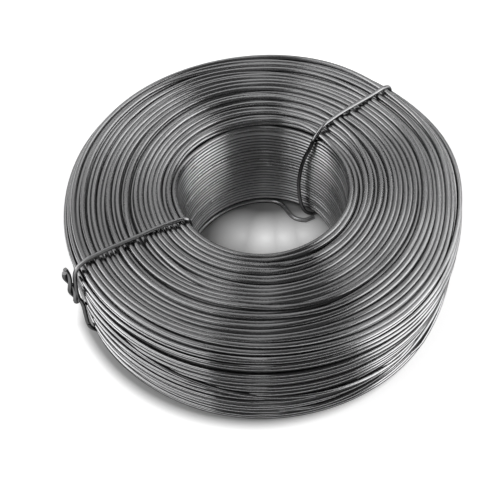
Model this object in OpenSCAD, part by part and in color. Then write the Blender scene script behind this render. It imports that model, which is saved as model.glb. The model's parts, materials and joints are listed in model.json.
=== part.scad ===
// A tied roll of drawn stainless steel wire that lies flat, with its bore upright.
// Millimetres, +Z up, with the origin on the bore axis at the level of the underside.

/* [Wire] */
// Diameter of the coiled wire
wire_d = 1.3; // [1:0.05:1.8]
// Depth by which neighbouring turns bed into each other
turn_bed = 0.06; // [0.04:0.01:0.1]

/* [Coil] */
// Outside diameter, over the outermost turns
coil_d = 104; // [94:1:120]
// Diameter of the bore
bore_d = 45; // [38:1:54]
// Height, from the underside to the crests of the top turns
coil_h = 37.5; // [32:0.5:46]
// Rounding of the top outer rim, where the last turns have slipped inwards
top_rim_r = 6; // [4:0.5:8]
// Rounding of the bottom outer rim
low_rim_r = 5; // [4:0.5:7]
// Rounding of the two rims of the bore
lip_r = 1.8; // [1.5:0.1:3]
// Depth by which the winding drum and the floor have pressed the turns flat
press_flat = 0.16; // [0.1:0.02:0.22]

/* [Ties] */
// Diameter of the two tie wires
tie_d = 1.3; // [1:0.05:1.6]
// Gap between a tie and the crests of the turns that it crosses
tie_gap = 0.15; // [0.1:0.05:0.4]
// Depth of a tie below the bore wall and above the floor, where it is let into the turns
tie_sink = 0.12; // [0.1:0.02:0.3]
// Clearance around a tie where it is let into the turns
saddle_gap = 0.1; // [0.05:0.01:0.14]
// Inside radius of a tie's bends at the bore
tie_bend_r = 1.6; // [1.2:0.1:3]
// Direction of the left tie, in degrees around the bore axis from +X
left_angle = 208.5; // [190:0.5:220]
// Direction of the right tie, in degrees around the bore axis from +X
right_angle = 45; // [30:0.5:60]

/* [Twisted ends] */
// Length of the twisted ends, along their axis
twist_l = 13; // [10:0.5:16]
// Turns in the twisted ends
twist_turns = 1.25; // [0.75:0.25:1.5]
// Gap between the two strands of a twist
strand_gap = 0.06; // [0.04:0.01:0.2]
// Radius, at the middle of the wire, of the hairpin that leads into a twist
hairpin_r = 1; // [0.9:0.05:1.5]
// Lean of the left tie's twisted ends away from the coil, in degrees
left_lean = 5; // [2:1:16]
// Lean of the right tie's twisted ends away from the coil, in degrees
right_lean = 2; // [1:1:16]
// Height of the left tie's hairpin above the floor
left_twist_z = 20; // [15:0.5:21]
// Height of the right tie's hairpin above the floor
right_twist_z = 15; // [13:0.5:18]

/* [Hidden] */

overrun = 5;
turn_facets = 48;
corner_steps = 6;
tie_sides = 8;
helix_steps = 9;

coil_r = coil_d / 2;
bore_r = bore_d / 2;
turn_r = (wire_d + turn_bed) / 2;
tie_r = tie_d / 2;

// The outline of the winding before its bore and its underside are pressed flat
wind_r = bore_r - press_flat;
wind_z = -press_flat;

// The closed route of a tie's centre line around the section, as radii and heights
tie_in_r = bore_r + tie_sink + tie_r;
tie_out_r = coil_r + tie_gap + tie_r;
tie_low_z = tie_sink + tie_r;
tie_top_z = coil_h + tie_gap + tie_r;
tie_bend = tie_bend_r + tie_r;
tie_top_bend = top_rim_r + tie_gap + tie_r;
tie_low_bend = low_rim_r + tie_gap + tie_r;
saddle_w = tie_r + saddle_gap;

// The two strands of a twist lie on a helix of this radius
helix_r = (tie_d + strand_gap) / 2;

// Points on an arc around c, from the angle a through the angle sweep
function arc(c, r, a, sweep, first = 0, last = corner_steps) =
    [for (i = [first : last])
        let (turn = a + sweep * i / corner_steps)
        c + r * [cos(turn), sin(turn)]];

// A box with three sizes of round corner: at the bore, at the top rim and at the bottom rim
function round_box(x0, x1, z0, z1, bore_bend, top_bend, low_bend) = concat(
    arc([x1 - top_bend, z1 - top_bend], top_bend, 0, 90),
    arc([x0 + bore_bend, z1 - bore_bend], bore_bend, 90, 90),
    arc([x0 + bore_bend, z0 + bore_bend], bore_bend, 180, 90),
    arc([x1 - low_bend, z0 + low_bend], low_bend, 270, 90));

// Centres of the turns along a straight run or round a rim, about a wire's width apart
function turn_row(a, b) =
    let (n = max(1, round(norm(b - a) / wire_d)))
    [for (i = [0 : n - 1]) a + (b - a) * i / n];
function turn_rim(c, r, a) =
    let (n = max(1, round(r * PI / 2 / wire_d)))
    [for (i = [0 : n - 1]) c + r * [cos(a + 90 * i / n), sin(a + 90 * i / n)]];

// Centres of all the turns that show: top end, bore, underside and outer side
function turn_centres() =
    let (x0 = wind_r + turn_r, x1 = coil_r - turn_r)
    let (z0 = wind_z + turn_r, z1 = coil_h - turn_r)
    let (top = top_rim_r - turn_r, low = low_rim_r - turn_r, lip = lip_r - turn_r)
    concat(
        turn_rim([x1 - top, z1 - top], top, 0),
        turn_row([x1 - top, z1], [x0 + lip, z1]),
        turn_rim([x0 + lip, z1 - lip], lip, 90),
        turn_row([x0, z1 - lip], [x0, z0 + lip]),
        turn_rim([x0 + lip, z0 + lip], lip, 180),
        turn_row([x0 + lip, z0], [x1 - low, z0]),
        turn_rim([x1 - low, z0 + low], low, 270),
        turn_row([x1, z0 + low], [x1, z1 - top]));

// Section of the coil: its packed core, the turns that show, and the two sides pressed flat
module coil_section() {
    intersection() {
        union() {
            polygon(round_box(wind_r + turn_r, coil_r - turn_r, wind_z + turn_r, coil_h - turn_r,
                lip_r - turn_r, top_rim_r - turn_r, low_rim_r - turn_r));
            for (c = turn_centres())
                translate(c)
                    circle(r = turn_r, $fn = turn_facets);
        }
        translate([bore_r, 0])
            square([coil_r - bore_r + overrun, coil_h + overrun]);
    }
}

// Room for a tie along its route: it opens the bore and the underside, and clears the other turns
module saddle(angle) {
    spread = 2 * asin(saddle_w / bore_r);
    inner_r = bore_r - overrun;
    rotate([0, 0, angle - spread / 2])
        rotate_extrude(angle = spread, $fn = turn_facets)
            difference() {
                translate([inner_r, -overrun])
                    square([tie_out_r + overrun - inner_r, tie_top_z + 2 * overrun]);
                polygon(round_box(tie_in_r + saddle_w, tie_out_r - saddle_w,
                    tie_low_z + saddle_w, tie_top_z - saddle_w,
                    tie_bend - saddle_w, tie_top_bend - saddle_w, tie_low_bend - saddle_w));
            }
}

module wire_coil() {
    color([0.42, 0.42, 0.43])
        difference() {
            rotate_extrude($fn = turn_facets)
                coil_section();
            saddle(left_angle);
            saddle(right_angle);
        }
}

// Points of the tie's own plane, which holds the bore axis, as points in space
function in_plane(points) = [for (p = points) [p[0], 0, p[1]]];

// One strand of a twist, from its root to its cut end
function strand(root, lean, phase) =
    let (n = ceil(twist_turns * helix_steps))
    let (along = [sin(lean), 0, cos(lean)], across = [cos(lean), 0, -sin(lean)])
    [for (i = [0 : n])
        let (turn = phase + 360 * twist_turns * i / n)
        root + along * twist_l * i / n + helix_r * (across * cos(turn) + [0, sin(turn), 0])];

// The upper end's way into the twist is a hairpin, and the lower end's passes under and outside it
function hairpin(mid) =
    arc(mid, hairpin_r, 360, -180, first = 1);
function underpass(mid) =
    let (wide_r = hairpin_r + 2 * helix_r)
    concat(
        arc([mid[0], mid[1] - wide_r - hairpin_r], hairpin_r, 180, -90),
        arc(mid, wide_r, 270, 90, first = 1, last = corner_steps - 1));

// The wire of a tie: out of the twist, round the section of the coil and back into the twist
function tie_route(twist_z, lean) =
    let (mid = [tie_out_r + hairpin_r, twist_z + hairpin_r])
    let (root = [mid[0] + hairpin_r + helix_r, 0, mid[1]])
    let (upper = strand(root, lean, 180), lower = strand(root, lean, 0))
    concat(
        [for (i = [len(upper) - 1 : -1 : 0]) upper[i]],
        in_plane(concat(
            hairpin(mid),
            round_box(tie_in_r, tie_out_r, tie_low_z, tie_top_z, tie_bend, tie_top_bend, tie_low_bend),
            underpass(mid))),
        lower);

// A tube of tie wire along a route, closed at both ends
module tie_tube(route) {
    n = len(route);
    m = tie_sides;
    side = [0, 1, 0];
    points = [for (i = [0 : n - 1])
        let (step = route[min(i + 1, n - 1)] - route[max(i - 1, 0)])
        let (ahead = step / norm(step))
        let (level = side - ahead * (side * ahead))
        let (u = level / norm(level), v = cross(ahead, u))
        for (k = [0 : m - 1])
            route[i] + tie_r * (u * cos(360 * k / m) + v * sin(360 * k / m))];
    walls = [for (i = [0 : n - 2])
        for (k = [0 : m - 1])
            let (k2 = (k + 1) % m)
            [i * m + k, (i + 1) * m + k, (i + 1) * m + k2, i * m + k2]];
    first_end = [for (k = [0 : m - 1]) k];
    last_end = [for (k = [m - 1 : -1 : 0]) (n - 1) * m + k];
    polyhedron(points = points, faces = concat([first_end], walls, [last_end]));
}

module tie_wire_left() {
    color([0.55, 0.55, 0.56])
        rotate([0, 0, left_angle])
            tie_tube(tie_route(left_twist_z, left_lean));
}

module tie_wire_right() {
    color([0.55, 0.55, 0.56])
        rotate([0, 0, right_angle])
            tie_tube(tie_route(right_twist_z, right_lean));
}

wire_coil();
tie_wire_left();
tie_wire_right();
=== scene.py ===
import json
import math

import bmesh
import bpy
import numpy as np
from mathutils import Matrix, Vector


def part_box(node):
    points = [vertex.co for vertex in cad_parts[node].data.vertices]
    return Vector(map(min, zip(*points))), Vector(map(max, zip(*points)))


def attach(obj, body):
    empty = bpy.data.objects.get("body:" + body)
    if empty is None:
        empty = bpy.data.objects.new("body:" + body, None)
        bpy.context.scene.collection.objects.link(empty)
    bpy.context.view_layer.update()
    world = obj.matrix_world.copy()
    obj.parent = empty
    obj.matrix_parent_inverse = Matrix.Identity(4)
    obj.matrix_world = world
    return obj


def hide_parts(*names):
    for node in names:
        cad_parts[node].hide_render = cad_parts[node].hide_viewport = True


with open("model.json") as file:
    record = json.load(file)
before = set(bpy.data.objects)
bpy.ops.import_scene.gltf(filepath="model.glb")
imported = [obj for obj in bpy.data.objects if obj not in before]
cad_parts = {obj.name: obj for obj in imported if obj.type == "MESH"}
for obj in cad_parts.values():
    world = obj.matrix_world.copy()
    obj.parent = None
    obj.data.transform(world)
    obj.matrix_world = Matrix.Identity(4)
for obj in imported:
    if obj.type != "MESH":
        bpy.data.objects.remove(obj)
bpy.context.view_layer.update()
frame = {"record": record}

scene = bpy.context.scene
scene.view_settings.view_transform = "Standard"
mm = 0.001
fullTurn = 2 * math.pi

# Sizes that every piece shares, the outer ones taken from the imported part
mounts = {mount["name"]: mount for mount in frame["record"]["mounts"]}
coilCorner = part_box("wire_coil")[1]
coilRadius = coilCorner.x
coilHeight = coilCorner.z
boreRadius = mounts["bore"]["dims"]["r_mm"] * mm
wireRadius = 0.65 * mm          # half the thickness of the coiled wire
wireWidth = 2 * wireRadius
snugRadius = 0.68 * mm          # turns that are pressed together show less of their flanks


# Camera at the photo's viewing angle

view = {
    "elevation": math.radians(55.62),   # how far the photo looks down
    "distance": 4.1694 * coilRadius,
    "yaw": 0.0196,                      # small turns that place the coil in the frame
    "tilt": 0.0169,
    "roll": math.radians(-1.93),
    "focalPixels": 719.8,
    "imagePixels": 500,
    "sensor": 36.0,
    "clipStart": 0.01,
}


def addCamera(spec):
    data = bpy.data.cameras.new("photo_camera")
    data.sensor_fit = "HORIZONTAL"
    data.sensor_width = spec["sensor"]
    data.lens = spec["focalPixels"] / spec["imagePixels"] * spec["sensor"]
    data.clip_start = spec["clipStart"]
    camera = bpy.data.objects.new("photo_camera", data)
    scene.collection.objects.link(camera)
    lookDown = math.pi / 2 - spec["elevation"]
    stand = Matrix.Rotation(lookDown, 4, "X") @ Matrix.Translation((0, 0, spec["distance"]))
    nudge = (Matrix.Rotation(spec["yaw"], 4, "Y")
             @ Matrix.Rotation(spec["tilt"], 4, "X")
             @ Matrix.Rotation(spec["roll"], 4, "Z"))
    camera.matrix_world = stand @ nudge
    scene.camera = camera


addCamera(view)
print("camera set")


# Steel finishes

def newGroup(name, inputs, outputs):
    group = bpy.data.node_groups.new(name, "ShaderNodeTree")
    for label, kind, value in inputs:
        socket = group.interface.new_socket(name=label, in_out="INPUT", socket_type=kind)
        if value is not None:
            socket.default_value = value
    for label, kind in outputs:
        group.interface.new_socket(name=label, in_out="OUTPUT", socket_type=kind)
    return group, group.nodes.new("NodeGroupInput"), group.nodes.new("NodeGroupOutput")


def feed(tree, socket, value):
    if isinstance(value, (int, float)):
        socket.default_value = value
    else:
        tree.links.new(value, socket)


def addMath(tree, operation, *values):
    node = tree.nodes.new("ShaderNodeMath")
    node.operation = operation
    for socket, value in zip(node.inputs, values):
        feed(tree, socket, value)
    return node.outputs[0]


def addRange(tree, value, low, high, newLow, newHigh):
    node = tree.nodes.new("ShaderNodeMapRange")
    labels = ("Value", "From Min", "From Max", "To Min", "To Max")
    for label, given in zip(labels, (value, low, high, newLow, newHigh)):
        feed(tree, node.inputs[label], given)
    return node.outputs["Result"]


def addNoise(tree, vector, extra, scale, detail, dimensions="4D"):
    node = tree.nodes.new("ShaderNodeTexNoise")
    node.noise_dimensions = dimensions
    node.inputs["Scale"].default_value = scale
    node.inputs["Detail"].default_value = detail
    tree.links.new(vector, node.inputs["Vector"])
    if dimensions == "4D":
        tree.links.new(extra, node.inputs["W"])
    return node.outputs["Fac"]


# Coordinates that run along the turns: a slow one around the axis, fast ones across the wire
def makeTurnRun():
    group, given, result = newGroup(
        "TurnRun",
        [("Position", "NodeSocketVector", None), ("Along", "NodeSocketFloat", 1.0),
         ("Across", "NodeSocketFloat", 1.0)],
        [("Run", "NodeSocketVector"), ("Height", "NodeSocketFloat")])
    split = group.nodes.new("ShaderNodeSeparateXYZ")
    group.links.new(given.outputs["Position"], split.inputs[0])
    x, y, z = split.outputs
    square = addMath(group, "ADD", addMath(group, "MULTIPLY", x, x), addMath(group, "MULTIPLY", y, y))
    radius = addMath(group, "SQRT", square)
    along = given.outputs["Along"]
    across = given.outputs["Across"]
    join = group.nodes.new("ShaderNodeCombineXYZ")
    group.links.new(addMath(group, "MULTIPLY", addMath(group, "DIVIDE", x, radius), along), join.inputs[0])
    group.links.new(addMath(group, "MULTIPLY", addMath(group, "DIVIDE", y, radius), along), join.inputs[1])
    group.links.new(addMath(group, "MULTIPLY", radius, across), join.inputs[2])
    group.links.new(join.outputs[0], result.inputs["Run"])
    group.links.new(addMath(group, "MULTIPLY", z, across), result.inputs["Height"])
    return group


drawnMarks = {
    # scale and detail of each noise, the range in which its mask sets in, and its share in the tone
    "lines": (1.0, 3.0), "lineEdges": (0.3, 0.7), "lineShare": 0.45,
    "haze": (0.13, 2.0), "hazeEdges": (0.38, 0.62), "hazeShare": 0.55,
    "specks": (620.0, 4.0), "speckEdges": (0.64, 0.76), "speckShare": 0.25,
    "hazeDullness": 0.6,
}


# Drawn finish: die lines along the wire, hazy stretches and small dull marks
def makeDrawnFinish(spec):
    group, given, result = newGroup(
        "DrawnFinish",
        [("Run", "NodeSocketVector", None), ("Height", "NodeSocketFloat", 0.0),
         ("Marks", "NodeSocketVector", None),
         ("Dark", "NodeSocketColor", (0.2, 0.2, 0.2, 1)), ("Light", "NodeSocketColor", (0.4, 0.4, 0.4, 1)),
         ("Smooth", "NodeSocketFloat", 0.2), ("Dull", "NodeSocketFloat", 0.35)],
        [("Color", "NodeSocketColor"), ("Roughness", "NodeSocketFloat"), ("Lines", "NodeSocketFloat")])
    lines = addNoise(group, given.outputs["Run"], given.outputs["Height"], *spec["lines"])
    haze = addNoise(group, given.outputs["Run"], given.outputs["Height"], *spec["haze"])
    specks = addNoise(group, given.outputs["Marks"], None, *spec["specks"], "3D")
    speckMask = addRange(group, specks, *spec["speckEdges"], 0.0, 1.0)
    hazeMask = addRange(group, haze, *spec["hazeEdges"], 0.0, 1.0)
    lineMask = addRange(group, lines, *spec["lineEdges"], 0.0, 1.0)
    tone = addMath(group, "ADD", addMath(group, "MULTIPLY", lineMask, spec["lineShare"]),
                   addMath(group, "MULTIPLY", hazeMask, spec["hazeShare"]))
    tone = addMath(group, "SUBTRACT", tone, addMath(group, "MULTIPLY", speckMask, spec["speckShare"]))
    mix = group.nodes.new("ShaderNodeMix")
    mix.data_type = "RGBA"
    group.links.new(tone, mix.inputs["Factor"])
    group.links.new(given.outputs["Dark"], mix.inputs["A"])
    group.links.new(given.outputs["Light"], mix.inputs["B"])
    group.links.new(mix.outputs["Result"], result.inputs["Color"])
    hazeDull = addMath(group, "MULTIPLY", hazeMask, spec["hazeDullness"])
    dullness = addMath(group, "MAXIMUM", hazeDull, speckMask)
    spread = addMath(group, "SUBTRACT", given.outputs["Dull"], given.outputs["Smooth"])
    rough = addMath(group, "ADD", given.outputs["Smooth"], addMath(group, "MULTIPLY", dullness, spread))
    group.links.new(rough, result.inputs["Roughness"])
    group.links.new(lineMask, result.inputs["Lines"])
    return group


paintedShadeFront = (-20 * mm, 30 * mm)     # along Y, where the painted shade on the front half is full and where it is gone


# Painted shade: a darker colour on flanks that look sideways or down, and on the front half
def makePaintedShade():
    group, given, result = newGroup(
        "PaintedShade",
        [("Position", "NodeSocketVector", None), ("Normal", "NodeSocketVector", None),
         ("Flank Shade", "NodeSocketFloat", 0.8), ("Full Below", "NodeSocketFloat", 0.4),
         ("Gone Above", "NodeSocketFloat", 0.6), ("Front Shade", "NodeSocketFloat", 0.0)],
        [("Unshaded", "NodeSocketFloat")])
    facing = group.nodes.new("ShaderNodeSeparateXYZ")
    group.links.new(given.outputs["Normal"], facing.inputs[0])
    flank = addRange(group, facing.outputs["Z"], given.outputs["Full Below"], given.outputs["Gone Above"],
                     1.0, 0.0)
    place = group.nodes.new("ShaderNodeSeparateXYZ")
    group.links.new(given.outputs["Position"], place.inputs[0])
    front = addRange(group, place.outputs["Y"], *paintedShadeFront, 1.0, 0.0)
    flankUnshaded = addMath(group, "SUBTRACT", 1.0, addMath(group, "MULTIPLY", flank, given.outputs["Flank Shade"]))
    frontUnshaded = addMath(group, "SUBTRACT", 1.0, addMath(group, "MULTIPLY", front, given.outputs["Front Shade"]))
    group.links.new(addMath(group, "MULTIPLY", flankUnshaded, frontUnshaded), result.inputs["Unshaded"])
    return group


turnRun = makeTurnRun()
drawnFinish = makeDrawnFinish(drawnMarks)
paintedShadeGroup = makePaintedShade()


def makeSteel(name, finish):
    steel = bpy.data.materials.new(name)
    steel.use_nodes = True
    tree = steel.node_tree
    shader = tree.nodes["Principled BSDF"]
    shader.inputs["Metallic"].default_value = finish["metal"]
    shader.inputs["Specular Tint"].default_value = (*[finish["edge"]] * 3, 1)   # at glancing angles
    shader.inputs["Anisotropic"].default_value = finish["anisotropy"]
    shader.inputs["Anisotropic Rotation"].default_value = 0.25   # die lines spread light across the wire
    place = tree.nodes.new("ShaderNodeTexCoord")
    look = tree.nodes.new("ShaderNodeGroup")
    look.node_tree = drawnFinish
    look.inputs["Dark"].default_value = (*finish["dark"], 1)
    look.inputs["Light"].default_value = (*finish["light"], 1)
    look.inputs["Smooth"].default_value = finish["smooth"]
    look.inputs["Dull"].default_value = finish["dull"]
    tree.links.new(place.outputs["Object"], look.inputs["Marks"])
    if finish["follows"] == "turns":
        run = tree.nodes.new("ShaderNodeGroup")
        run.node_tree = turnRun
        run.inputs["Along"].default_value = finish["along"]
        run.inputs["Across"].default_value = finish["across"]
        tree.links.new(place.outputs["Object"], run.inputs["Position"])
        tree.links.new(run.outputs["Run"], look.inputs["Run"])
        tree.links.new(run.outputs["Height"], look.inputs["Height"])
    else:
        stretch = tree.nodes.new("ShaderNodeMapping")
        stretch.inputs["Scale"].default_value = (finish["along"], finish["across"], 1)
        tree.links.new(place.outputs["UV"], stretch.inputs["Vector"])
        tree.links.new(stretch.outputs["Vector"], look.inputs["Run"])
    bump = tree.nodes.new("ShaderNodeBump")
    bump.inputs["Strength"].default_value = finish["lineStrength"]
    bump.inputs["Distance"].default_value = finish["lineDepth"]
    tree.links.new(look.outputs["Lines"], bump.inputs["Height"])
    tree.links.new(bump.outputs["Normal"], shader.inputs["Normal"])
    paintedShade = tree.nodes.new("ShaderNodeGroup")
    paintedShade.node_tree = paintedShadeGroup
    paintedShade.inputs["Flank Shade"].default_value, paintedShade.inputs["Front Shade"].default_value = finish["paintedShade"]
    paintedShade.inputs["Full Below"].default_value, paintedShade.inputs["Gone Above"].default_value = finish["paintedShadeEdges"]
    tree.links.new(place.outputs["Object"], paintedShade.inputs["Position"])
    tree.links.new(place.outputs["Normal"], paintedShade.inputs["Normal"])
    paintedShadeColor = tree.nodes.new("ShaderNodeVectorMath")
    paintedShadeColor.operation = "SCALE"
    tree.links.new(look.outputs["Color"], paintedShadeColor.inputs["Vector"])
    tree.links.new(paintedShade.outputs["Unshaded"], paintedShadeColor.inputs["Scale"])
    tree.links.new(paintedShadeColor.outputs["Vector"], shader.inputs["Base Color"])
    tree.links.new(look.outputs["Roughness"], shader.inputs["Roughness"])
    return steel


# The coiled wire's die lines: scale of the pattern along the turns and, per metre, across them
turnLines = {
    "follows": "turns", "along": 9.0, "across": 5200.0, "lineStrength": 0.12, "lineDepth": 0.03 * mm,
}

# painted shade: its strength on flanks and in front, then the upward facing where it is full and gone
coilSteel = makeSteel("coil_steel", {
    "dark": (0.36, 0.36, 0.364), "light": (0.51, 0.51, 0.515),
    "paintedShade": (0.1, 0.2), "paintedShadeEdges": (0.4, 0.7),
    "metal": 1.0, "edge": 1.0, "smooth": 0.22, "dull": 0.28, "anisotropy": 0.6,
    **turnLines,
})
# Bore steel: a lighter, partly diffuse copy of the coil steel as painted light for the light bounced about in
# the bore, with strong painted shade on its flanks
borePaintedLightSteel = makeSteel("bore_steel_painted_light_and_shade", {
    "dark": (0.64, 0.64, 0.646), "light": (0.82, 0.82, 0.828),
    "paintedShade": (0.9, 0.0), "paintedShadeEdges": (0.1, 0.42),
    "metal": 0.82, "edge": 0.8, "smooth": 0.27, "dull": 0.33, "anisotropy": 0.8,
    **turnLines,
})
# Outer steel: strong painted shade on the flanks that look sideways or down
outerSteel = makeSteel("outer_steel", {
    "dark": (0.38, 0.38, 0.385), "light": (0.52, 0.52, 0.526),
    "paintedShade": (0.92, 0.0), "paintedShadeEdges": (0.45, 0.56),
    "metal": 1.0, "edge": 0.5, "smooth": 0.15, "dull": 0.21, "anisotropy": 0.8,
    **turnLines,
})
# Tie steel: painted shade darkens the flanks that look sideways or down
tieSteel = makeSteel("tie_steel", {
    "dark": (0.42, 0.42, 0.425), "light": (0.58, 0.58, 0.586),
    "paintedShade": (0.75, 0.0), "paintedShadeEdges": (0.2, 0.75),
    "metal": 1.0, "edge": 0.4, "smooth": 0.24, "dull": 0.36, "anisotropy": 0.0,
    "follows": "wire", "along": 24.0, "across": 9.0, "lineStrength": 0.25, "lineDepth": 0.04 * mm,
})
# Packed steel: a much darker copy of the coil steel as painted shade for the deep gaps it is seen through,
# with painted shade on its flanks too
packedShadeSteel = makeSteel("packed_steel_painted_shade", {
    "dark": (0.10, 0.10, 0.102), "light": (0.24, 0.24, 0.242),
    "paintedShade": (0.5, 0.0), "paintedShadeEdges": (0.4, 0.8),
    "metal": 1.0, "edge": 0.5, "smooth": 0.4, "dull": 0.6, "anisotropy": 0.3,
    "follows": "turns", "along": 7.0, "across": 2600.0, "lineStrength": 0.6, "lineDepth": 0.3 * mm,
})
print("steel finishes made")


# The winding: turns lie side by side in layers, up one layer and down the next

winding = {
    "seed": 41,
    "layers": 24,
    "stepsPerTurn": 120,
    "snugSides": 12,              # facets around the turns of the top and the bore
    "wireSides": 10,              # and around the others
    "endTurns": 1.7,              # turns of each layer that are made at an end
    "stepDegrees": (28, 50),      # least and most that a step to the next layer takes
    "topLean": 0.8,               # how unevenly the turns rise at the top and at the floor
    "lowLean": 0.5,
    "turnover": 0.15,             # radians in which a path turns from rising to falling
    "topRim": 4.5 * mm,           # rounding of the rims
    "lowRim": 5.0 * mm,
    "waves": 6,                   # waves that make up each wander below
    "drift": (0.20 * mm, 4),      # neighbouring turns wander together: size, and most waves around
    "driftSlant": 0.25,           # most radians by which a wave of the drift turns from layer to layer
    "shift": (0.08 * mm, 6),      # each layer wanders by itself
    "swell": (0.16 * mm, 5),      # a layer's end rises and falls
    "levelSpread": 0.20 * mm,
    "headroom": 0.12 * mm,        # how far the layers' ends lie below the top, which none passes
    "lastShort": (2.3 * mm, 2.9 * mm),   # and how far the last two stop short of it
    "lipSag": (90, 78, 2.8 * mm),        # direction, half width and size of the sunken lip of the bore
    "lipSagLayers": 2.5,                 # layers in which it fades out
    "rimSag": (326, 40, 3.3 * mm),       # the same of the sunken top rim
    "rimSagLayers": (17, 21),            # layers between which it sets in
    "bulgesFrom": 9,                     # layer from which the coil bulges
    "bulges": [
        # direction and half width in degrees, size, and its share at the top and at the floor
        (14, 19, 1.4 * mm, 1.0, 0.4),
        (125, 40, 0.6 * mm, 1.0, 1.0),
        (207, 25, 1.5 * mm, 0.2, 1.0),
    ],
}
layerStep = (coilRadius - boreRadius - wireWidth) / (winding["layers"] - 1)
lastLayer = winding["layers"] - 1
layerRadii = boreRadius + wireRadius + layerStep * np.arange(winding["layers"])


def rimDrop(rim):
    reach = rim - wireRadius
    over = np.clip(layerRadii - (coilRadius - rim), 0, reach)
    return reach - np.sqrt(reach ** 2 - over ** 2)


def makeWander(rng, size, slow, fast, count=winding["waves"]):
    rates = rng.uniform(slow, fast, count)
    phases = rng.uniform(0, fullTurn, count)
    shares = rng.uniform(0.5, 1.0, count)
    shares *= size * math.sqrt(2 / (shares ** 2).sum())
    return lambda phi: (np.sin(np.outer(phi, rates) + phases) * shares).sum(axis=1)


# Waves that close around the coil, so that all turns of a layer share them
def makeRoundWaves(rng, size, most, count=winding["waves"]):
    waves = rng.integers(1, most + 1, count).astype(float)
    phases = rng.uniform(0, fullTurn, count)
    shares = rng.uniform(0.4, 1.0, count) / np.sqrt(waves)
    shares *= size * math.sqrt(2 / (shares ** 2).sum())
    return waves, phases, shares


def sumWaves(waveSet, angle, slant=0.0):
    waves, phases, shares = waveSet
    return (np.sin(np.outer(angle, waves) + phases + slant) * shares).sum(axis=1)


drawRng = np.random.default_rng(winding["seed"])
driftWaves = makeRoundWaves(drawRng, *winding["drift"])
driftSlants = drawRng.uniform(-winding["driftSlant"], winding["driftSlant"], winding["waves"])
swellWaves = [makeRoundWaves(drawRng, *winding["swell"]) for _ in range(winding["layers"])]
shiftWaves = [makeRoundWaves(drawRng, *winding["shift"]) for _ in range(winding["layers"])]
levels = drawRng.normal(0, winding["levelSpread"], winding["layers"])
topLevels = (coilHeight - wireRadius - rimDrop(winding["topRim"]) - winding["headroom"]
             + np.minimum(levels, winding["headroom"]))
topLevels[lastLayer - 1:] = coilHeight - np.array(winding["lastShort"])
lowLevels = wireRadius + rimDrop(winding["lowRim"])


def smoothStep(x):
    x = np.clip(x, 0, 1)
    return x * x * (3 - 2 * x)


# Value of a per-layer quantity on a path that may be on its way to the next layer
def between(values, layer):
    low = np.clip(np.floor(layer).astype(int), 0, lastLayer)
    high = np.clip(low + 1, 0, lastLayer)
    part = layer - low
    return np.asarray(values)[low] * (1 - part) + np.asarray(values)[high] * part


def perLayer(waveSets, angle, layer):
    total = np.zeros(len(angle))
    weight = np.clip(1 - np.abs(layer[:, None] - np.arange(winding["layers"])), 0, 1)
    for index, waveSet in enumerate(waveSets):
        used = weight[:, index] > 0
        if used.any():
            total[used] += weight[used, index] * sumWaves(waveSet, angle[used])
    return total


def turnRadius(angle, layer):
    slant = layer[:, None] * driftSlants
    return (between(layerRadii, layer) + sumWaves(driftWaves, angle, slant)
            + perLayer(shiftWaves, angle, layer))


# Degrees from a direction, the short way round
def awayFrom(turn, angle):
    return (np.degrees(angle) - turn + 180) % 360 - 180


# The coil isn't quite round: its outer layers bulge in places
def bulge(angle, radius, height):
    total = np.zeros(len(angle))
    for turn, halfWidth, size, topShare, lowShare in winding["bulges"]:
        share = lowShare + (topShare - lowShare) * smoothStep(height / coilHeight)
        total += size * share * np.exp(-(awayFrom(turn, angle) / halfWidth) ** 2)
    start = layerRadii[winding["bulgesFrom"]]
    return total * smoothStep((radius - start) / (layerRadii[lastLayer] - start))


# Turns at the lip of the bore and at the top rim have sunk in places
def sag(angle, layer):
    turn, halfWidth, size = winding["lipSag"]
    lip = size * np.exp(-(awayFrom(turn, angle) / halfWidth) ** 4)
    lip = lip * np.clip(1 - layer / winding["lipSagLayers"], 0, 1) ** 1.5
    turn, halfWidth, size = winding["rimSag"]
    first, full = winding["rimSagLayers"]
    rim = size * np.exp(-(awayFrom(turn, angle) / halfWidth) ** 2)
    return lip + rim * np.clip((layer - first) / (full - first), 0, 1) ** 0.6


def turnPoints(angle, radius, height):
    radius = radius + bulge(angle, radius, height)
    return np.column_stack((radius * np.cos(angle), radius * np.sin(angle), height))


# Uneven rise of a turn, which is one wire's width a turn on the whole
def unevenRise(phi, lean, phase):
    soft = winding["turnover"]
    share = (np.sqrt(phi ** 2 + soft ** 2) - soft) / fullTurn
    return share + lean * (np.sin(fullTurn * share + phase) - math.sin(phase)) / fullTurn


def pathAngles(turnsBefore, turnsAfter):
    count = int(round((turnsBefore + turnsAfter) * winding["stepsPerTurn"]))
    return np.linspace(-turnsBefore * fullTurn, turnsAfter * fullTurn, count + 1)


# One end of the coil: the wire comes along a layer, steps across and goes back along the next
def stepAcross(rng, layer, lean):
    phi = pathAngles(winding["endTurns"], winding["endTurns"])
    angle = phi + rng.uniform(0, fullTurn)
    across = layer + smoothStep(phi / math.radians(rng.uniform(*winding["stepDegrees"])) + 0.5)
    rise = unevenRise(phi, rng.uniform(-lean, lean), rng.uniform(0, fullTurn))
    return angle, across, wireWidth * rise


def topStep(rng, layer):
    angle, across, rise = stepAcross(rng, layer, winding["topLean"])
    height = between(topLevels, across) + perLayer(swellWaves, angle, across) - rise
    return turnPoints(angle, turnRadius(angle, across), height - sag(angle, across))


# Where the ties pass under the coil the turns ride over them
tieAngles = {"left": math.radians(208.5), "right": math.radians(45.0)}
ride = {"halfWidth": 4.0 * mm, "fade": 4 * wireWidth}     # beside a tie, and upwards


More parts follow.
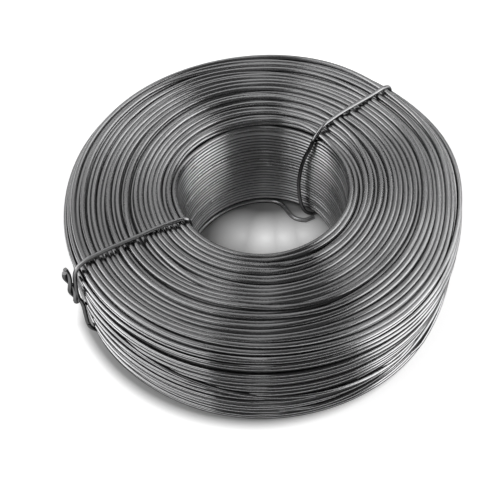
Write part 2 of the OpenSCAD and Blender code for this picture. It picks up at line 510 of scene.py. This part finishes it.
def rideOver(angle, radius, height):
    lift = np.zeros(len(angle))
    for tieAngle in tieAngles.values():
        aside = radius * np.sin(angle - tieAngle)
        near = np.where(np.cos(angle - tieAngle) > 0, np.exp(-(aside / ride["halfWidth"]) ** 2), 0)
        lift = np.maximum(lift, near)
    room = np.exp(-np.clip(height - wireRadius, 0, None) / ride["fade"])
    return height + wireWidth * lift * room


def lowStep(rng, layer):
    angle, across, rise = stepAcross(rng, layer, winding["lowLean"])
    radius = turnRadius(angle, across)
    height = between(lowLevels, across) + rise
    return turnPoints(angle, radius, rideOver(angle, radius, height))


# A smooth run through points, as a spline that passes each of them
def smoothRun(points, steps):
    points = np.asarray(points, float)
    ends = np.vstack((2 * points[0] - points[1], points, 2 * points[-1] - points[-2]))
    run = []
    for a, b, c, d in zip(ends[:-3], ends[1:-2], ends[2:-1], ends[3:]):
        t = np.linspace(0, 1, steps, endpoint=False)[:, None]
        run.append(0.5 * (2 * b + (c - a) * t + (2 * a - 5 * b + 4 * c - d) * t ** 2
                          + (3 * b - a - 3 * c + d) * t ** 3))
    return np.vstack(run + [points[-1:]])


# Curves with a round section become the wire, as one mesh for each piece
def makeWire(name, paths, radius, sides, steel):
    curve = bpy.data.curves.new(name + "_run", "CURVE")
    curve.dimensions = "3D"
    curve.twist_mode = "Z_UP"
    curve.bevel_depth = radius
    curve.bevel_resolution = sides // 2 - 2
    curve.use_fill_caps = True
    for path in paths:
        spline = curve.splines.new("POLY")
        spline.points.add(len(path) - 1)
        spline.points.foreach_set("co", np.column_stack((path, np.ones(len(path)))).ravel())
    run = bpy.data.objects.new(name + "_run", curve)
    scene.collection.objects.link(run)
    bpy.context.view_layer.update()
    mesh = bpy.data.meshes.new_from_object(run.evaluated_get(bpy.context.evaluated_depsgraph_get()))
    bpy.data.objects.remove(run)
    bpy.data.curves.remove(curve)
    mesh.name = name
    mesh.materials.clear()
    mesh.materials.append(steel)
    piece = bpy.data.objects.new(name, mesh)
    scene.collection.objects.link(piece)
    print(name, len(mesh.vertices), "points")
    return piece


# The bore wall is the first layer, whose start has sprung loose at the floor

boreStart = {
    # the loose end from its cut to where it meets the wall: degrees around, millimetres from the axis
    "looseEnd": [(45.0, 22.5), (46.2, 21.0), (47.8, 19.8), (52.4, 18.9), (58.0, 18.6), (64.0, 19.3),
                 (68.5, 20.5), (72.5, 21.7), (76.5, 22.6), (82.0, 23.15)],
    "looseSteps": 8,
    "meets": math.radians(20),     # how gently it joins the wall
    "gap": 1.1 * mm,               # the first turn lies on the floor, below the rest of the wall
    "flatShare": 0.42,             # and is flat for this share of it
    "unevenness": (0.05 * mm, 0.5, 2.5),   # size, slowest and fastest wave of the wall's own wander
    "step": math.radians(40),      # how long the step to the next layer takes
    "topRise": (0.4, 1.0),         # lean and phase of the turns after it
    "lipTurns": 2.2,               # the wall's highest turns are seen with the top
}


def boreRun(spec):
    rng = np.random.default_rng(winding["seed"] + 3)
    wander = makeWander(rng, *spec["unevenness"])
    loose = smoothRun([(math.radians(a), r * mm) for a, r in spec["looseEnd"]], spec["looseSteps"])
    rise = topLevels[0] - lowLevels[0]
    turns = (rise - spec["gap"]) / wireWidth
    climb = turns * fullTurn
    phi = pathAngles(turns, winding["endTurns"])
    angle = phi + loose[0, 0] + climb
    across = smoothStep(phi / spec["step"] + 0.5)
    done = (phi + climb) / fullTurn
    firstTurn = (wireWidth + spec["gap"]) * smoothStep((done - spec["flatShare"]) / (1 - spec["flatShare"]))
    wall = lowLevels[0] + np.where(done < 1, firstTurn, wireWidth * done + spec["gap"])
    over = between(topLevels, across) - wireWidth * unevenRise(np.maximum(phi, 0), *spec["topRise"])
    height = np.where(phi < 0, wall, over)
    height = height - sag(angle, across) * np.clip(wall / topLevels[0], 0, 1)
    height = height + perLayer(swellWaves, angle, across) * smoothStep(done / (turns / 2))
    radius = turnRadius(angle, across) + wander(phi) * smoothStep(done)
    start = smoothStep((angle - loose[-1, 0]) / spec["meets"])
    radius = np.interp(angle, loose[:, 0], loose[:, 1]) * (1 - start) + radius * start
    height = np.where(angle < loose[-1, 0], height, rideOver(angle, radius, height))
    points = turnPoints(angle, radius, np.maximum(height, snugRadius))
    lip = np.searchsorted(phi, -spec["lipTurns"] * fullTurn)
    return points[:lip + 1], points[lip:]


boreWall, boreLip = boreRun(boreStart)
boreTurns = makeWire("bore_turns", [boreWall], snugRadius, winding["snugSides"], borePaintedLightSteel)


def addTopTurns():
    rng = np.random.default_rng(winding["seed"] + 1)
    paths = [boreLip] + [topStep(rng, layer) for layer in range(2, lastLayer - 1, 2)]
    return makeWire("top_turns", paths, snugRadius, winding["snugSides"], coilSteel)


def addUnderTurns():
    rng = np.random.default_rng(winding["seed"] + 2)
    paths = [lowStep(rng, layer) for layer in range(1, lastLayer - 2, 2)]
    return makeWire("under_turns", paths, wireRadius, winding["wireSides"], coilSteel)


topTurns = addTopTurns()
underTurns = addUnderTurns()


# The outer side: a full layer, then a last layer laid with uneven gaps, and turns that have slipped across

outerSide = {
    "underStep": math.radians(120),   # direction in which the full layer leaves the underside
    "step": math.radians(45),         # how long a step to the next layer takes
    "settle": math.radians(60),       # and how soon the last layer finds its own spacing
    "lastTurns": 18,
    # size, slowest and fastest wave, and the number of waves
    "gapWander": (1.1 * mm, 0.12, 0.5, 7),    # how far the last turns stray from an even spacing
    "gapRipple": (0.28 * mm, 0.9, 2.6, 7),    # and how far within a turn
    "proud": (0.24 * mm, 0.2, 1.4, 6),        # and how far in and out
    "mostProud": 0.5 * mm,
    "slump": (326, 40, 3.5 * mm),             # direction and half width in degrees, and depth of the drop
    "slumpHeights": (14 * mm, 34 * mm),       # heights between which it sets in
    "strayTuck": 0.16,                        # share of a stray that is tucked in at each end
    "straySteps": 90,
    "strays": [
        # from angle, to angle, height at each, how far it stands off the last layer
        (math.radians(196), math.radians(330), 27.0 * mm, 13.0 * mm, 0.55 * mm),
        (math.radians(262), math.radians(402), 9.0 * mm, 19.0 * mm, 0.5 * mm),
        (math.radians(20), math.radians(150), 12.0 * mm, 24.0 * mm, 0.5 * mm),
        (math.radians(308), math.radians(396), 6.0 * mm, 25.0 * mm, 0.8 * mm),
    ],
}


def addOuterTurns(spec):
    rng = np.random.default_rng(winding["seed"] + 4)
    steps = winding["stepsPerTurn"]
    full = lastLayer - 1
    climb = (topLevels[full] - lowLevels[full]) / wireWidth * fullTurn
    phi = pathAngles(winding["endTurns"], climb / fullTurn)
    angle = phi + spec["underStep"]
    across = full - 1 + smoothStep(phi / spec["step"] + 0.5)
    radius = turnRadius(angle, across)
    height = between(lowLevels, across) + wireWidth * unevenRise(phi, 0.0, 0.0)
    height = rideOver(angle, radius, height)
    inner = turnPoints(angle, radius, height)

    # The last layer goes down, and no turn comes closer than a wire's width to the one above it
    down = np.arange(1, int(spec["lastTurns"] * steps) + 1) * fullTurn / steps
    lastAngle = angle[-1] + down
    share = down / down[-1]
    wander = makeWander(rng, *spec["gapWander"])
    ripple = makeWander(rng, *spec["gapRipple"])
    wanted = topLevels[lastLayer] + (lowLevels[lastLayer] - topLevels[lastLayer]) * share
    wanted = wanted + (wander(down) + ripple(down)) * np.sin(math.pi * np.clip(share, 0, 1)) ** 0.5
    lowest = lowLevels[lastLayer] + wireWidth * (down[-1] - down) / fullTurn
    settle = smoothStep(down / spec["settle"])
    lastHeight = height[-1] + (wanted - height[-1]) * settle
    for index in range(steps, len(lastHeight)):
        lastHeight[index] = min(lastHeight[index], lastHeight[index - steps] - wireWidth)
    lastHeight = np.maximum(lastHeight, lowest)
    stepOut = full + smoothStep(down / spec["step"])
    lastRadius = turnRadius(lastAngle, stepOut) + makeWander(rng, *spec["proud"])(down)
    lastRadius = np.minimum(lastRadius, layerRadii[lastLayer] + spec["mostProud"])
    side = np.vstack((inner, turnPoints(lastAngle, lastRadius, lastHeight)))
    turn, halfWidth, size = spec["slump"]
    first, whole = spec["slumpHeights"]
    drop = size * np.exp(-(awayFrom(turn, np.arctan2(side[:, 1], side[:, 0])) / halfWidth) ** 2)
    side[:, 2] -= drop * smoothStep((side[:, 2] - first) / (whole - first))

    paths = [side]
    for start, stop, startHeight, stopHeight, stand in spec["strays"]:
        share = np.linspace(0, 1, spec["straySteps"])
        strayAngle = start + (stop - start) * share
        strayHeight = startHeight + (stopHeight - startHeight) * smoothStep(share)
        tuck = smoothStep(share / spec["strayTuck"]) * smoothStep((1 - share) / spec["strayTuck"])
        strayRadius = layerRadii[lastLayer] - wireWidth + (wireWidth + stand) * tuck
        paths.append(turnPoints(strayAngle, strayRadius, strayHeight))
    return makeWire("outer_turns", paths, wireRadius, winding["wireSides"], outerSteel)


outerTurns = addOuterTurns(outerSide)


# The packed turns inside, seen only through the gaps

packed = {"inset": 1.9 * mm, "headroom": 0.4 * mm, "rim": 7.0 * mm, "rimSteps": 4, "sides": 96}


def addPackedTurns(spec):
    inner = boreRadius + spec["inset"]
    outer = coilRadius - spec["inset"] - wireWidth
    low = spec["inset"]
    high = coilHeight - spec["inset"] - spec["headroom"]
    bm = bmesh.new()
    corners = [bm.verts.new((x, 0, z)) for x, z in ((inner, low), (outer, low), (outer, high), (inner, high))]
    for pair in zip(corners, corners[1:] + corners[:1]):
        bm.edges.new(pair)
    bmesh.ops.bevel(bm, geom=[corners[1], corners[2]], offset=spec["rim"], affect="VERTICES",
                    segments=spec["rimSteps"], profile=0.5, material=-1)
    bmesh.ops.spin(bm, geom=bm.verts[:] + bm.edges[:], cent=(0, 0, 0), axis=(0, 0, 1),
                   angle=fullTurn, steps=spec["sides"], use_merge=True)
    bmesh.ops.recalc_face_normals(bm, faces=bm.faces[:])
    mesh = bpy.data.meshes.new("packed_turns")
    bm.to_mesh(mesh)
    bm.free()
    mesh.materials.append(packedShadeSteel)
    piece = bpy.data.objects.new("packed_turns", mesh)
    scene.collection.objects.link(piece)
    return piece


packedTurns = addPackedTurns(packed)
for piece in (topTurns, underTurns, boreTurns, outerTurns, packedTurns):
    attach(piece, "root")
    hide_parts("wire_coil")
print("coil wound")


# The two ties: one wire each, round the section and twisted together on the outer side

tieRadius = 0.55 * mm
tieTwist = {
    "length": 12.4 * mm, "turns": 1.0, "strandRadius": 0.54 * mm, "start": math.radians(61.5), "steps": 40,
}
loopSteps = 8                   # between two points of a loop
tieSides = 14

# Points of each loop: distance from the bore axis, shift to its left, height, all in millimetres
leftTie = {
    "angle": tieAngles["left"],
    "root": (54.9, -0.2, 24.2),
    "lean": math.radians(-1.5),
    "loop": [
        (55.0, 0.3, 23.6), (54.5, 0.2, 23.5), (54.1, 0.1, 24.6), (54.0, 0.2, 27.0), (53.4, 0.3, 31.0),
        (52.6, 0.35, 34.6), (51.2, 0.3, 36.6), (48.6, 0.1, 37.5), (46.0, 0.0, 37.6), (42.0, -0.1, 37.6),
        (37.0, 0.1, 37.6), (32.0, 0.2, 37.6), (28.0, 0.4, 37.6), (24.5, 0.9, 37.7), (22.6, 1.3, 37.4),
        (21.9, 1.5, 36.1), (21.75, 1.5, 33.0), (21.75, 1.2, 26.0), (21.75, 0.8, 18.0), (21.75, 0.4, 9.0),
        (21.75, 0.2, 4.0), (21.9, 0.1, 2.2), (22.6, 0.0, 1.0), (24.2, 0.0, 0.66), (30.0, 0.0, 0.66),
        (38.0, 0.0, 0.66), (45.0, 0.0, 0.66), (47.6, 0.0, 1.5), (50.4, 0.0, 3.8), (52.7, 0.0, 6.4),
        (54.1, 0.0, 9.0), (54.4, 0.0, 12.0), (54.1, 0.0, 16.2), (53.75, -0.1, 20.0), (53.9, -0.5, 22.4),
        (54.6, -0.8, 23.6),
    ],
}
rightTie = {
    "angle": tieAngles["right"],
    "root": (55.6, 0.0, 16.0),
    "lean": math.radians(2),
    "loop": [
        (54.2, 0.0, 15.1), (53.3, -0.2, 16.2), (53.1, -0.6, 20.0), (53.0, -1.2, 25.0), (52.8, -1.7, 29.5),
        (52.3, -1.9, 32.6), (51.4, -2.0, 35.0), (50.1, -2.0, 36.6), (48.0, -1.85, 37.4), (45.5, -1.65, 37.6),
        (42.5, -1.2, 37.6), (39.0, -0.6, 37.6), (35.5, 0.0, 37.6), (32.0, 0.5, 37.6), (28.0, 0.85, 37.6),
        (25.9, 1.0, 37.5), (24.5, 1.1, 36.8), (23.3, 1.25, 35.6), (22.2, 1.45, 34.2), (21.75, 1.75, 32.4),
        (21.3, 2.5, 29.4), (20.9, 3.5, 26.0), (20.2, 4.1, 21.0), (19.8, 4.3, 15.5), (20.0, 3.9, 9.0),
        (20.6, 3.2, 4.6), (21.4, 2.4, 2.3),
        (22.7, 1.5, 1.0), (24.6, 0.6, 0.66), (30.0, 0.0, 0.66), (38.0, 0.0, 0.66), (45.0, 0.0, 0.66),
        (48.4, 0.0, 1.3), (51.0, 0.0, 2.9), (52.6, 0.0, 5.4), (53.0, 0.0, 8.0), (53.1, 0.0, 10.6),
        (53.8, 0.0, 12.6), (55.2, 0.0, 13.6),
    ],
}


def twistStrand(spec, phase):
    root = np.array(spec["root"]) * mm
    along = np.array((math.sin(spec["lean"]), 0, math.cos(spec["lean"])))
    outward = np.array((math.cos(spec["lean"]), 0, -math.sin(spec["lean"])))
    share = np.linspace(0, 1, tieTwist["steps"])[:, None]
    turn = phase + share * tieTwist["turns"] * fullTurn
    sideways = np.array((0, 1, 0))
    return (root + along * tieTwist["length"] * share
            + tieTwist["strandRadius"] * (outward * np.cos(turn) + sideways * np.sin(turn)))


def addTie(name, node, spec):
    upper = twistStrand(spec, tieTwist["start"])
    lower = twistStrand(spec, tieTwist["start"] + math.pi)
    loop = np.array(spec["loop"]) * mm
    joined = np.vstack((upper[1:2], loop, lower[1:2]))
    run = np.vstack((upper[::-1][:-2], smoothRun(joined, loopSteps), lower[2:]))
    turn = spec["angle"]
    x = run[:, 0] * math.cos(turn) - run[:, 1] * math.sin(turn)
    y = run[:, 0] * math.sin(turn) + run[:, 1] * math.cos(turn)
    piece = makeWire(name, [np.column_stack((x, y, run[:, 2]))], tieRadius, tieSides, tieSteel)
    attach(piece, "root")
    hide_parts(node)
    return piece


addTie("tie_left", "tie_wire_left", leftTie)
addTie("tie_right", "tie_wire_right", rightTie)
print("ties made")


# A pale floor that rises into a low backdrop all round

studio = {
    "floorRadius": 1.5, "floorRise": 0.2, "floorColor": 0.8, "floorSides": 64,
    "flatShare": 0.85,           # share of the radius at which the backdrop starts to rise
    "riseShare": 0.6,            # width of the rise for its height
    "mergeDistance": 0.5 * mm,
    "floorLift": 0.72,           # plain white that the camera and the metal see on the open floor
    "shades": [
        # centre of a circle, and the radii at which its shade is full and gone; below zero, some is left
        ((-2.9 * mm, 4.0 * mm, 0), 53.8 * mm, 56.8 * mm),
        ((3.0 * mm, -12.0 * mm, 0), 55.0 * mm, 58.0 * mm),
        ((0.5 * mm, 8.8 * mm, 0), 11.0 * mm, -1.0 * mm),
        ((6.0 * mm, 8.8 * mm, 0), 11.0 * mm, -2.0 * mm),
        ((12.0 * mm, 9.5 * mm, 0), 10.0 * mm, -5.0 * mm),
        ((-6.5 * mm, 10.0 * mm, 0), 11.0 * mm, -9.0 * mm),
    ],
    "world": 0.055,
    "lamps": [
        # name, direction and height in degrees, half width and half length in degrees, slide, brightness
        ("right_high_softbox", 56, 69.8, 26.6, 7.2, -0.78, 1.05),
        ("right_softbox", 56, 45.2, 25.7, 13.2, -0.6, 1.25),
        ("right_front_panel", -20.5, 20, 19.5, 18, 0.0, 2.1),
        ("right_panel", 13, 16, 9, 14, 0.0, 1.05),
        ("left_softbox", 164, 47.5, 23.6, 32.5, 0.46, 1.2),
        ("left_panel", 189, 13, 15, 11, 0.0, 1.6),
        ("left_front_panel", 225, 13, 20, 11, 0.0, 0.8),
        ("back_panel", 90, 48, 34, 22, 0.0, 0.46),
        ("back_left_panel", 144, 38, 17, 20, 0.0, 0.26),
        ("overhead_strip", 90, 92, 3.5, 42, -0.01, 0.5),
    ],
    "lampDistance": 1.1,
}


def addFloor(spec):
    bm = bmesh.new()
    rise = spec["floorRise"]
    flat = spec["floorRadius"] * spec["flatShare"]
    profile = [(0, 0), (spec["floorRadius"] / 2, 0), (flat, 0)]
    profile += [(flat + rise * math.sin(a) * spec["riseShare"], rise * (1 - math.cos(a)))
                for a in np.radians((18, 36, 54, 72, 90))]
    points = [bm.verts.new((x, 0, z)) for x, z in profile]
    edges = [bm.edges.new(pair) for pair in zip(points, points[1:])]
    bmesh.ops.spin(bm, geom=points + edges, cent=(0, 0, 0), axis=(0, 0, 1), angle=fullTurn,
                   steps=spec["floorSides"], use_merge=True)
    bmesh.ops.remove_doubles(bm, verts=bm.verts[:], dist=spec["mergeDistance"])
    bmesh.ops.recalc_face_normals(bm, faces=bm.faces[:])
    mesh = bpy.data.meshes.new("studio_floor")
    bm.to_mesh(mesh)
    bm.free()
    for face in mesh.polygons:
        face.use_smooth = True
    paper = bpy.data.materials.new("studio_paper")
    paper.use_nodes = True
    tree = paper.node_tree
    shader = tree.nodes["Principled BSDF"]
    shader.inputs["Base Color"].default_value = (*[spec["floorColor"]] * 3, 1)
    shader.inputs["Roughness"].default_value = 1.0
    shader.inputs["Specular IOR Level"].default_value = 0.0
    shader.inputs["Emission Color"].default_value = (1, 1, 1, 1)
    rays = tree.nodes.new("ShaderNodeLightPath")
    seen = addMath(tree, "MAXIMUM", rays.outputs["Is Camera Ray"], rays.outputs["Is Glossy Ray"])
    seen = addMath(tree, "MAXIMUM", seen, rays.outputs["Is Transmission Ray"])
    place = tree.nodes.new("ShaderNodeTexCoord")
    clear = 0.0
    for at, full, gone in spec["shades"]:
        span = tree.nodes.new("ShaderNodeVectorMath")
        span.operation = "DISTANCE"
        span.inputs[1].default_value = at
        tree.links.new(place.outputs["Object"], span.inputs[0])
        clear = addMath(tree, "MAXIMUM", clear, addRange(tree, span.outputs["Value"], full, gone, 0.0, 1.0))
    lift = addMath(tree, "MULTIPLY", clear, spec["floorLift"])
    tree.links.new(addMath(tree, "MULTIPLY", seen, lift), shader.inputs["Emission Strength"])
    mesh.materials.append(paper)
    floor = bpy.data.objects.new("studio_floor", mesh)
    scene.collection.objects.link(floor)


def addLights(spec):
    world = bpy.data.worlds.new("studio_world")
    world.use_nodes = True
    background = world.node_tree.nodes["Background"]
    background.inputs["Color"].default_value = (1, 1, 1, 1)
    background.inputs["Strength"].default_value = spec["world"]
    scene.world = world
    for name, turn, height, halfWidth, halfLength, slide, brightness in spec["lamps"]:
        data = bpy.data.lights.new(name, "AREA")
        data.shape = "RECTANGLE"
        data.size = 2 * spec["lampDistance"] * math.tan(math.radians(halfWidth))
        data.size_y = 2 * spec["lampDistance"] * math.tan(math.radians(halfLength))
        data.energy = brightness * math.pi * data.size * data.size_y
        lamp = bpy.data.objects.new(name, data)
        lamp.matrix_world = (Matrix.Rotation(math.radians(turn + 90), 4, "Z")
                             @ Matrix.Translation((slide, 0, 0))
                             @ Matrix.Rotation(math.radians(90 - height), 4, "X")
                             @ Matrix.Translation((0, 0, spec["lampDistance"])))
        scene.collection.objects.link(lamp)


addFloor(studio)
addLights(studio)
print("floor and lights set")
